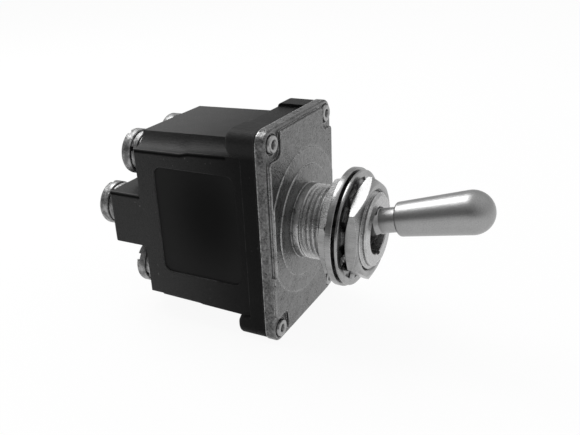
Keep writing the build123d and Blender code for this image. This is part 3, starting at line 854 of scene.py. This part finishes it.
def bushing(columns=144):
    """The bushing: a right-hand thread outside, the stepped bore, keyway, notches and pin hole."""
    bore = turned(
        [
            (THREAD_R, -THREAD_START),
            (THREAD_R, 0.05),
            (REAR_BORE_R, 0.05),
            (REAR_BORE_R, -REAR_BORE_END),
            (BORE_R, -REAR_BORE_END),
            (BORE_R, -BUSHING_LENGTH + 0.15),
            (BORE_R + 0.15, -BUSHING_LENGTH),
            (THREAD_R - BUSHING_CHAMFER, -BUSHING_LENGTH),
        ],
        columns,
    )
    turns = ceil((BUSHING_LENGTH - THREAD_START) / THREAD_PITCH) + 1
    rows = [(k + place, share) for k in range(-1, turns) for place, share in THREAD_FORM]
    grid = []
    for i in range(columns + 1):
        angle = 2 * pi * i / columns
        column = []
        for place, share in rows:
            y = THREAD_START + (place + i / columns) * THREAD_PITCH
            y = min(max(y, THREAD_START), BUSHING_LENGTH)
            radius = thread_radius(y, share)
            column.append(bore.verts.new((radius * cos(angle), -y, radius * sin(angle))))
        grid.append(column)
    for one, two in zip(grid, grid[1:]):
        for k in range(len(rows) - 1):
            bore.faces.new((one[k], one[k + 1], two[k + 1], two[k]))
    bmesh.ops.remove_doubles(bore, verts=bore.verts, dist=0.0015)
    bmesh.ops.recalc_face_normals(bore, faces=bore.faces)
    tube = mesh_object(bore, "bushing")
    half_key, key_depth = KEYWAY[0] / 2, KEYWAY[1]
    half_notch, notch_depth, notch_length = MOUTH_NOTCH[0] / 2, MOUTH_NOTCH[1], MOUTH_NOTCH[2]
    keyway = block(
        (-half_key, -BUSHING_LENGTH - 1, -THREAD_R - 1), (half_key, -0.4, key_depth - THREAD_R)
    )
    notches = block(
        (-half_notch, -BUSHING_LENGTH - 1, -BORE_R - notch_depth),
        (half_notch, notch_length - BUSHING_LENGTH, BORE_R + notch_depth),
    )
    return cut(tube, [keyway, notches, rod(PIN_HOLE_R, THREAD_R + 1, PIVOT_Y)])


def rod(radius, half_length, y):
    """A round cutter along X."""
    bm = bmesh.new()
    bmesh.ops.create_cone(
        bm,
        cap_ends=True,
        segments=32,
        radius1=radius,
        radius2=radius,
        depth=2 * half_length,
        matrix=Matrix.Translation((0, y, 0)) @ Matrix.Rotation(pi / 2, 4, "Y"),
    )
    return mesh_object(bm, "cutter")


def rounded_outline(corners):
    """An outline of (x, z, radius) corners, each rounded by an arc of eight steps."""
    points = []
    for i, (x, z, radius) in enumerate(corners):
        here = Vector((x, z))
        before = Vector(corners[i - 1][:2]) - here
        after = Vector(corners[(i + 1) % len(corners)][:2]) - here
        half = before.angle(after) / 2
        reach = radius / tan(half)
        centre = here + (before.normalized() + after.normalized()).normalized() * radius / sin(half)
        start = here + before.normalized() * reach - centre
        end = here + after.normalized() * reach - centre
        turn = start.angle_signed(end)
        for k in range(9):
            points.append(centre + Matrix.Rotation(-turn * k / 8, 2) @ start)
    return points


def tier(levels, name):
    """A solid from outlines of (x, z) points at rising Y, each with as many points as the next."""
    bm = bmesh.new()
    loops = [[bm.verts.new((x, y, z)) for x, z in outline] for outline, y in levels]
    for one, two in zip(loops, loops[1:]):
        for i in range(len(one)):
            j = (i + 1) % len(one)
            bm.faces.new((one[i], one[j], two[j], two[i]))
    bm.faces.new(loops[0])
    bm.faces.new(loops[-1])
    bmesh.ops.recalc_face_normals(bm, faces=bm.faces)
    return mesh_object(bm, name)


def eased(outline, front, rear, radius):
    """Levels of a tier with its front edge rounded. The outline is given for an inset."""
    steps = [(radius * (1 - sin(pi / 8 * k)), radius * (1 - cos(pi / 8 * k))) for k in range(5)]
    return [(outline(inset), front + depth) for inset, depth in steps] + [(outline(0.0), rear)]


def plate_outline(inset):
    x, z, radius = PLATE_WIDTH / 2 - inset, PLATE_HEIGHT / 2 - inset, PLATE_CORNER_R - inset
    return rounded_outline([(-x, -z, radius), (x, -z, radius), (x, z, radius), (-x, z, radius)])


def face_outline(inset):
    """The raised face: cut back round the rivets, and stepped on its lower left side."""
    left, right, top = FACE_LEFT + inset, FACE_RIGHT - inset, FACE_TOP - inset
    low_left = FACE_STEP[0] + inset
    across, down, radius = PAD
    pad_left, pad_right = FACE_LEFT + across + inset, FACE_RIGHT - across - inset
    pad_top = FACE_TOP - down - inset
    convex, hollow = 0.6 - inset, radius + inset
    return rounded_outline(
        [
            (low_left, FACE_STEP[1] - inset, 0.15),
            (low_left, -pad_top, convex),
            (pad_left, -pad_top, hollow),
            (pad_left, -top, convex),
            (pad_right, -top, convex),
            (pad_right, -pad_top, hollow),
            (right, -pad_top, convex),
            (right, pad_top, convex),
            (pad_right, pad_top, hollow),
            (pad_right, top, convex),
            (pad_left, top, convex),
            (pad_left, pad_top, hollow),
            (left, pad_top, convex),
            (left, FACE_STEP[1] - inset, 0.15),
        ]
    )


def disc_outline(radius):
    """A circle's outline for an inset, no wider than the raised face."""
    def outline(inset):
        r = radius - inset
        steps = [2 * pi * k / 160 for k in range(160)]
        return [
            (min(max(r * cos(a), FACE_LEFT + 0.2 + inset), FACE_RIGHT - 0.2 - inset), r * sin(a))
            for a in steps
        ]

    return outline


def stepped_cutter(front_r, front, step, rear_r, segments, centre=(0.0, 0.0)):
    """A round cutter along Y: wide from front to step, then narrow until it is behind the plate."""
    rear = PLATE_BACK + 1.6
    wide = [(0, front), (front_r, front), (front_r, step)]
    narrow = [(rear_r, step), (rear_r, rear), (0, rear)]
    return mesh_object(turned(wide + narrow, segments, centre), "cutter")


def cover_plate():
    """The cast plate: flange, raised face, disc and seat ring, bored for bushing and rivets."""
    sunk = 0.3
    plate = combined(
        tier(eased(plate_outline, PAD_LEVEL, PLATE_BACK, PLATE_EDGE_R), "plate"),
        "UNION",
        [
            tier(eased(face_outline, FACE_LEVEL, PAD_LEVEL + sunk, 0.14), "raised_face"),
            tier(eased(disc_outline(DISC_R), DISC_LEVEL, FACE_LEVEL + sunk, 0.12), "disc"),
            tier(eased(disc_outline(SEAT_R), 0.0, DISC_LEVEL + sunk, 0.18), "seat"),
        ],
    )
    cutters = [stepped_cutter(THREAD_R - 0.3, -1, 0.6, REAR_BORE_R, 96)]
    well, depth = COUNTERBORE
    for sx, sz in CORNERS.values():
        centre = (sx * RIVET_X, sz * RIVET_Z)
        cutters.append(stepped_cutter(well, 0, PAD_LEVEL + depth, RIVET_HOLE_R, 40, centre))
    return cut(plate, cutters)


cover = even(joined([cover_plate(), bushing()], "cover_with_thread"))
dress(cover, "housing", casting, "cover_casting", "cover")


# Case

def case_shape():
    """The moulding as drawn, with its outer corners rounded at the rear."""
    bm = from_frame("case")

    def outer(edge):
        a, b = (v.co for v in edge.verts)
        if (a - b).length < 1.0 or len(edge.link_faces) != 2:
            return False
        if edge.calc_face_angle() < radians(60):
            return False
        at_side = all(abs(abs(c.x) - SIDE_X) < 0.02 for c in (a, b))
        at_rear = all(abs(c.y - CASE_REAR) < 0.02 for c in (a, b))
        low = all(c.z < -SHOULDER[3][1] + 0.5 for c in (a, b))
        return at_side and at_rear or low and at_side or low and at_rear

    bmesh.ops.bevel(
        bm,
        geom=[e for e in bm.edges if outer(e)],
        offset=OUTER_ROUND,
        segments=3,
        profile=0.5,
        affect="EDGES",
        clamp_overlap=True,
    )
    return mesh_object(bm, "case_moulding", 28.0)


case = even(case_shape())
dress(case, "housing", moulding, "moulding", "case")


# Rivets: tubular, with rolled heads

def rivet_shape():
    """One rivet on the axis, open in front. Its rear end is inside the moulding."""
    outline = [
        (0.0, 1.45),
        (RIVET_BORE_R - 0.04, 1.45),
        (RIVET_BORE_R, RIVET_FRONT + 0.22),
        (RIVET_BORE_R + 0.08, RIVET_FRONT + 0.07),
        (RIVET_BORE_R + 0.22, RIVET_FRONT),
        (RIVET_HEAD_R - 0.21, RIVET_FRONT),
        (RIVET_HEAD_R - 0.07, RIVET_FRONT + 0.07),
        (RIVET_HEAD_R, RIVET_FRONT + 0.22),
        (RIVET_HEAD_R, RIVET_SEAT),
        (RIVET_SHANK_R, RIVET_SEAT),
        (RIVET_SHANK_R, RIVET_REAR - 0.3),
        (RIVET_SHANK_R + 0.1, RIVET_REAR - 0.3),
        (RIVET_SHANK_R, RIVET_REAR),
        (0.0, RIVET_REAR),
    ]
    return mesh_object(turned(outline, 48), "rivet_shape")


shape = rivet_shape()
rivets = grown(
    "rivet_set",
    corner_pattern(rivet_plating),
    {"Shape": shape, "Pitch X": 2 * RIVET_X * MM, "Pitch Z": 2 * RIVET_Z * MM},
)
bpy.data.objects.remove(shape)
dress(rivets, "housing", rivet_plating, "rivet_metal", *[f"rivet_{name}" for name in CORNERS])


# Lever

def lever_shape():
    """The lever as turned, flatted and bored, before its tilt."""
    to_shank = sqrt(BALL_R**2 - COLLAR_R**2)
    to_tail = sqrt(BALL_R**2 - TAIL_R**2)
    front = acos(COLLAR_R / BALL_R)
    back = acos(TAIL_R / BALL_R)
    outline = [(0.0, TAIL_LENGTH), (TAIL_R - 0.2, TAIL_LENGTH), (TAIL_R, TAIL_LENGTH - 0.2)]
    outline += [(TAIL_R, to_tail)]
    for k in range(1, 16):
        angle = back - (back + front) * k / 16
        outline.append((BALL_R * cos(angle), BALL_R * sin(angle)))
    outline += [
        (COLLAR_R, -to_shank),
        (COLLAR_R, -COLLAR_END + 0.5),
        (SHANK_R + 0.1, -COLLAR_END),
        (SHANK_R, -COLLAR_END - 0.12),
        (SHANK_R, -GRIP_START + 0.12),
        (SHANK_R + 0.12, -GRIP_START),
    ]
    edge = GRIP_EDGE_R
    for k in range(5):
        angle = pi / 8 * k
        outline.append(
            (GRIP_START_R - edge * (1 - sin(angle)), -GRIP_START - edge * (1 - cos(angle)))
        )
    for k in range(1, 7):
        t = k / 6
        y = GRIP_START + edge + (DOME_CENTRE - GRIP_START - edge) * t
        outline.append((GRIP_START_R + (DOME_R - GRIP_START_R) * t, -y))
    for k in range(1, 17):
        angle = pi / 2 * k / 16
        outline.append((DOME_R * cos(angle), -DOME_CENTRE - DOME_R * sin(angle)))
    outline[-1] = (0.0, -DOME_CENTRE - DOME_R)
    made = mesh_object(turned(outline, 96), "bat_lever", 28.0)
    flats = [
        block((-4, -COLLAR_END, COLLAR_FLAT), (4, -BALL_R, 4)),
        block((-4, -COLLAR_END, -4), (4, -BALL_R, -COLLAR_FLAT)),
    ]
    return cut(made, flats + [rod(PIN_HOLE_R + 0.01, 5, 0.0)], 28.0)


lever = lever_shape()
lever.data.transform(
    Matrix.Translation((0, PIVOT_Y * MM, 0)) @ Matrix.Rotation(-LEVER_TILT, 4, "X")
)
dress(lever, "lever", lever_satin, "lever_metal", "lever")


# Nuts and washers on the bushing

def hex_nut(name, rear, thickness, phase):
    """A hex nut with conical chamfers on both faces and its edges broken."""
    front = rear - thickness
    corner = NUT_FLATS / 2 / cos(radians(30))
    bore = NUT_BORE_R
    body = turned(
        [
            (bore, front + NUT_MOUTH),
            (bore + NUT_MOUTH, front),
            (NUT_FACE_R, front),
            (corner, front + NUT_CHAMFER),
            (corner, rear - NUT_CHAMFER),
            (NUT_FACE_R, rear),
            (bore + NUT_MOUTH, rear),
            (bore, rear - NUT_MOUTH),
        ],
        120,
        closed=True,
    )
    nut = mesh_object(body, name)
    bm = bmesh.new()
    bmesh.ops.create_cone(
        bm,
        cap_ends=True,
        segments=6,
        radius1=corner - 0.02,
        radius2=corner - 0.02,
        depth=2 * thickness,
        matrix=Matrix.Translation((0, (front + rear) / 2, 0)) @ Matrix.Rotation(-pi / 2, 4, "X"),
    )
    bm.verts.ensure_lookup_table()
    first = bm.verts[0].co
    bmesh.ops.rotate(
        bm,
        verts=bm.verts,
        matrix=Matrix.Rotation(atan2(first.z, first.x) - radians(phase), 3, "Y"),
    )
    blank = mesh_object(bm, "blank")
    combined(nut, "INTERSECT", [blank])
    return edges_broken(nut, 0.07, 24.0, 24.0)


def ring(name, inner, outer, front, rear, edge, segments=128, **arc):
    """A flat ring with softened edges."""
    outline = [(inner, front), (outer, front), (outer, rear), (inner, rear)]
    return mesh_object(
        turned(soften(outline, edge), segments, closed=True, **arc), name
    )


def span(node):
    """The lowest and highest Y of a CAD node, in millimetres."""
    low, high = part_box(node)
    return low[1] / MM, high[1] / MM


front, rear = span("rear_nut")
nut = hex_nut("hex_nut_behind_panel", rear, rear - front, REAR_NUT_TURN)
dress(nut, "rear_nut", hardware, "hardware_metal", "rear_nut")

front, rear = span("front_nut")
nut = hex_nut("hex_nut_in_front", rear, rear - front, FRONT_NUT_TURN)
dress(nut, "front_nut", hardware, "hardware_metal", "front_nut")

front, rear = span("key_ring")
tongue = block(
    (-TONGUE_WIDTH / 2, front + 0.02, -WASHER_BORE_R - 0.2),
    (TONGUE_WIDTH / 2, rear - 0.02, TONGUE_REACH - THREAD_R),
)
locking = joined(
    [ring("ring", WASHER_BORE_R, KEY_RING_R, front, rear, 0.14), tongue], "locking_ring"
)
dress(locking, "key_ring", hardware, "hardware_metal", "key_ring")

front, rear = span("lock_washer")
tooth_swing = TOOTH_WIDTH / 2 * sin(radians(TOOTH_TWIST))
teeth = grown(
    "teeth",
    tooth_pattern(hardware),
    {
        "Count": TOOTH_COUNT,
        "Phase": radians(TOOTH_PHASE),
        "Tip": TOOTH_TIP_R * MM,
        "Root": (TOOTH_WINDOW_R + TOOTH_SUNK) * MM,
        "Width": TOOTH_WIDTH * MM,
        "Flare": TOOTH_FLARE,
        "Thickness": TOOTH_THICKNESS * MM,
        "Twist": radians(TOOTH_TWIST),
        "Level": (rear - WASHER_THICKNESS / 2) * MM,
        "Rise": (front - rear + WASHER_THICKNESS / 2 + tooth_swing + TOOTH_SHORT) * MM,
    },
)
toothed = joined(
    [
        ring("ring", TOOTH_WINDOW_R, TOOTH_RING_R, rear - WASHER_THICKNESS, rear, 0.12),
        teeth,
    ],
    "toothed_washer",
)
dress(toothed, "lock_washer", hardware, "hardware_metal", "lock_washer")


# Terminal screws and their washers

def screw_shape(name, centre, seat, angle):
    """A slotted binding-head screw, its head domed and its rim rolled over."""
    rim = seat + HEAD_SIDE
    top = rim + HEAD_CROWN
    dome_r = HEAD_R - 0.3
    shank_r, shank = SHANK_OF_SCREW
    outline = [
        (0.0, seat - shank),
        (shank_r - 0.4, seat - shank),
        (shank_r, seat - shank + 0.4),
        (shank_r, seat),
        (HEAD_R - 0.12, seat),
        (HEAD_R, seat + 0.12),
        (HEAD_R, rim - 0.3),
        (HEAD_R - 0.09, rim - 0.09),
        (dome_r, rim),
    ]
    for k in range(1, 11):
        t = k / 10
        outline.append((dome_r * (1 - t), rim + HEAD_CROWN * (1 - (1 - t) ** 2.2)))
    outline[-1] = (0.0, top)
    screw = mesh_object(turned(outline, 72, centre=centre), name, 30.0)
    reach = HEAD_R + 1
    slot = block((-reach, top - SLOT_DEPTH, -SLOT_WIDTH / 2), (reach, top + 1, SLOT_WIDTH / 2))
    to_centre = Matrix.Translation((centre[0] * MM, 0, centre[1] * MM))
    slot.data.transform(to_centre @ Matrix.Rotation(-radians(angle), 4, "Y"))
    cut(screw, [slot], 30.0)
    return edges_broken(screw, 0.09, 40.0, 30.0)


for place, angle in SLOT_ANGLES.items():
    side, row = place.split("_")
    centre = (POLES[side], ROWS[row])
    front, rear = span(f"screw_lock_washer_{place}")
    screw = screw_shape(f"slotted_screw_{place}", centre, rear, angle)
    dress(screw, f"screw_{place}", screw_plating, "screw_metal", f"screw_{place}")
    slit = angle + SLIT_FROM_SLOT
    split = ring(
        f"split_washer_{place}",
        WASHER_HOLE_R,
        SPLIT_WASHER_R,
        front + 0.04,
        rear - 0.04,
        0.1,
        64,
        centre=centre,
        first=slit + HALF_SLIT,
        last=slit + 360 - HALF_SLIT,
        rise=SPLIT_WASHER_RISE,
    )
    dress(split, f"washers_{place}", screw_plating, "screw_metal", f"screw_lock_washer_{place}")
    front, rear = span(f"screw_washer_{place}")
    flat = ring(
        f"flat_washer_{place}", WASHER_HOLE_R, FLAT_WASHER_R, front, rear, 0.12, 64, centre=centre
    )
    dress(flat, f"washers_{place}", screw_plating, "screw_metal", f"screw_washer_{place}")


# CAD nodes whose own shape stays

KEPT = {
    "gasket": gasket_black,
    "pivot_pin": spring_steel,
    "lever_seal": seal_black,
    "actuator": inner_plastic,
}
KEPT |= {f"plunger_{side}": inner_plastic for side in POLES}
KEPT |= {f"spring_{side}": spring_steel for side in POLES}
KEPT |= {f"rocker_{side}": strip_brass for side in POLES}
for side in POLES:
    KEPT |= {f"contact_{side}_{end}": contact_silver for end in ("upper", "lower")}
KEPT |= {f"terminal_{place}": screw_plating for place in SLOT_ANGLES}
for name, material in KEPT.items():
    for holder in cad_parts[name].material_slots:
        holder.link = "OBJECT"
        holder.material = material


# Floor, light and camera

FLOOR_Z = -17.0
floor_mesh = bmesh.new()
bmesh.ops.create_circle(
    floor_mesh,
    cap_ends=True,
    segments=96,
    radius=1500,
    matrix=Matrix.Translation((0, 12, FLOOR_Z)),
)
floor = mesh_object(floor_mesh, "floor")


def floor_finish():
    """A pale floor that takes shadows, and that the eye and reflections see as white."""
    f = Finish("floor", Base_Color=grey(0.9), Roughness=0.9, Specular_IOR_Level=0.0)
    path = f.add("ShaderNodeLightPath").output.node
    eye, gloss, glass = [
        Wire(f, path.outputs[f"Is {kind} Ray"]) for kind in ("Camera", "Glossy", "Transmission")
    ]
    share = 0.93 * eye.apply("MAXIMUM", gloss.apply("MAXIMUM", glass))
    glow = f.add("ShaderNodeEmission", None, {"Color": grey(1.0), "Strength": 1.0})
    f.mix(share, f.shader, glow)
    return f.material


floor.data.materials.append(floor_finish())

# The sky is brighter to the right, overhead and in front. The eye itself sees it white.
world = bpy.data.worlds.new("studio")
bpy.context.scene.world = world
world.use_nodes = True
sky = Tree(world.node_tree)
rays = sky.add("ShaderNodeTexCoord", output="Generated")
right_side, behind, height = sky.split(rays)
side = 0.5 + 0.6 * right_side
across = sky.add("ShaderNodeValToRGB", {"stops": [(0.0, 0.2), (1.0, 0.75)]}, [side])
above = sky.add("ShaderNodeValToRGB", {"stops": [(0.0, 0.0), (0.45, 0.0), (1.0, 0.5)]}, [height])
front = 0.45 * (-behind).apply("MAXIMUM", 0.0)
seen = sky.add("ShaderNodeLightPath", output="Is Camera Ray")
shown = sky.between(seen, 0.75 * (across + above + front), grey(1.0))
sky.feed(world.node_tree.nodes["Background"].inputs["Color"], shown)


def softbox(name, place, target, size, power):
    """A square area light that faces a target. Places are in millimetres."""
    light = bpy.data.lights.new(name, "AREA")
    light.shape = "SQUARE"
    light.size = size * MM
    light.energy = power
    lamp = bpy.data.objects.new(name, light)
    lamp.location = Vector(place) * MM
    lamp.rotation_euler = (Vector(target) - Vector(place)).to_track_quat("-Z", "Y").to_euler()
    bpy.context.scene.collection.objects.link(lamp)


softbox("overhead_softbox", (55, 225, 325), (0, 0, 0), 240, 1.05)

AZIMUTH = radians(-62.269)
ELEVATION = radians(23.106)
ROLL = radians(-2.481)
TARGET = Vector((16.904, 12.036, -8.319))
DISTANCE = 131.768
back = Vector(
    (sin(AZIMUTH) * cos(ELEVATION), -cos(AZIMUTH) * cos(ELEVATION), sin(ELEVATION))
)
level_right = (-back).cross(Vector((0, 0, 1))).normalized()
level_up = level_right.cross(-back)
right = cos(ROLL) * level_right + sin(ROLL) * level_up
up = -sin(ROLL) * level_right + cos(ROLL) * level_up
lens = bpy.data.cameras.new("camera")
lens.sensor_width = 36
lens.lens = 42.99
lens.clip_start = 0.001
lens.clip_end = 10
camera = bpy.data.objects.new("camera", lens)
turn = Matrix((right, up, back)).transposed().to_4x4()
camera.matrix_world = Matrix.Translation((TARGET + back * DISTANCE) * MM) @ turn
bpy.context.scene.collection.objects.link(camera)
bpy.context.scene.camera = camera
bpy.context.scene.view_settings.view_transform = "Standard"
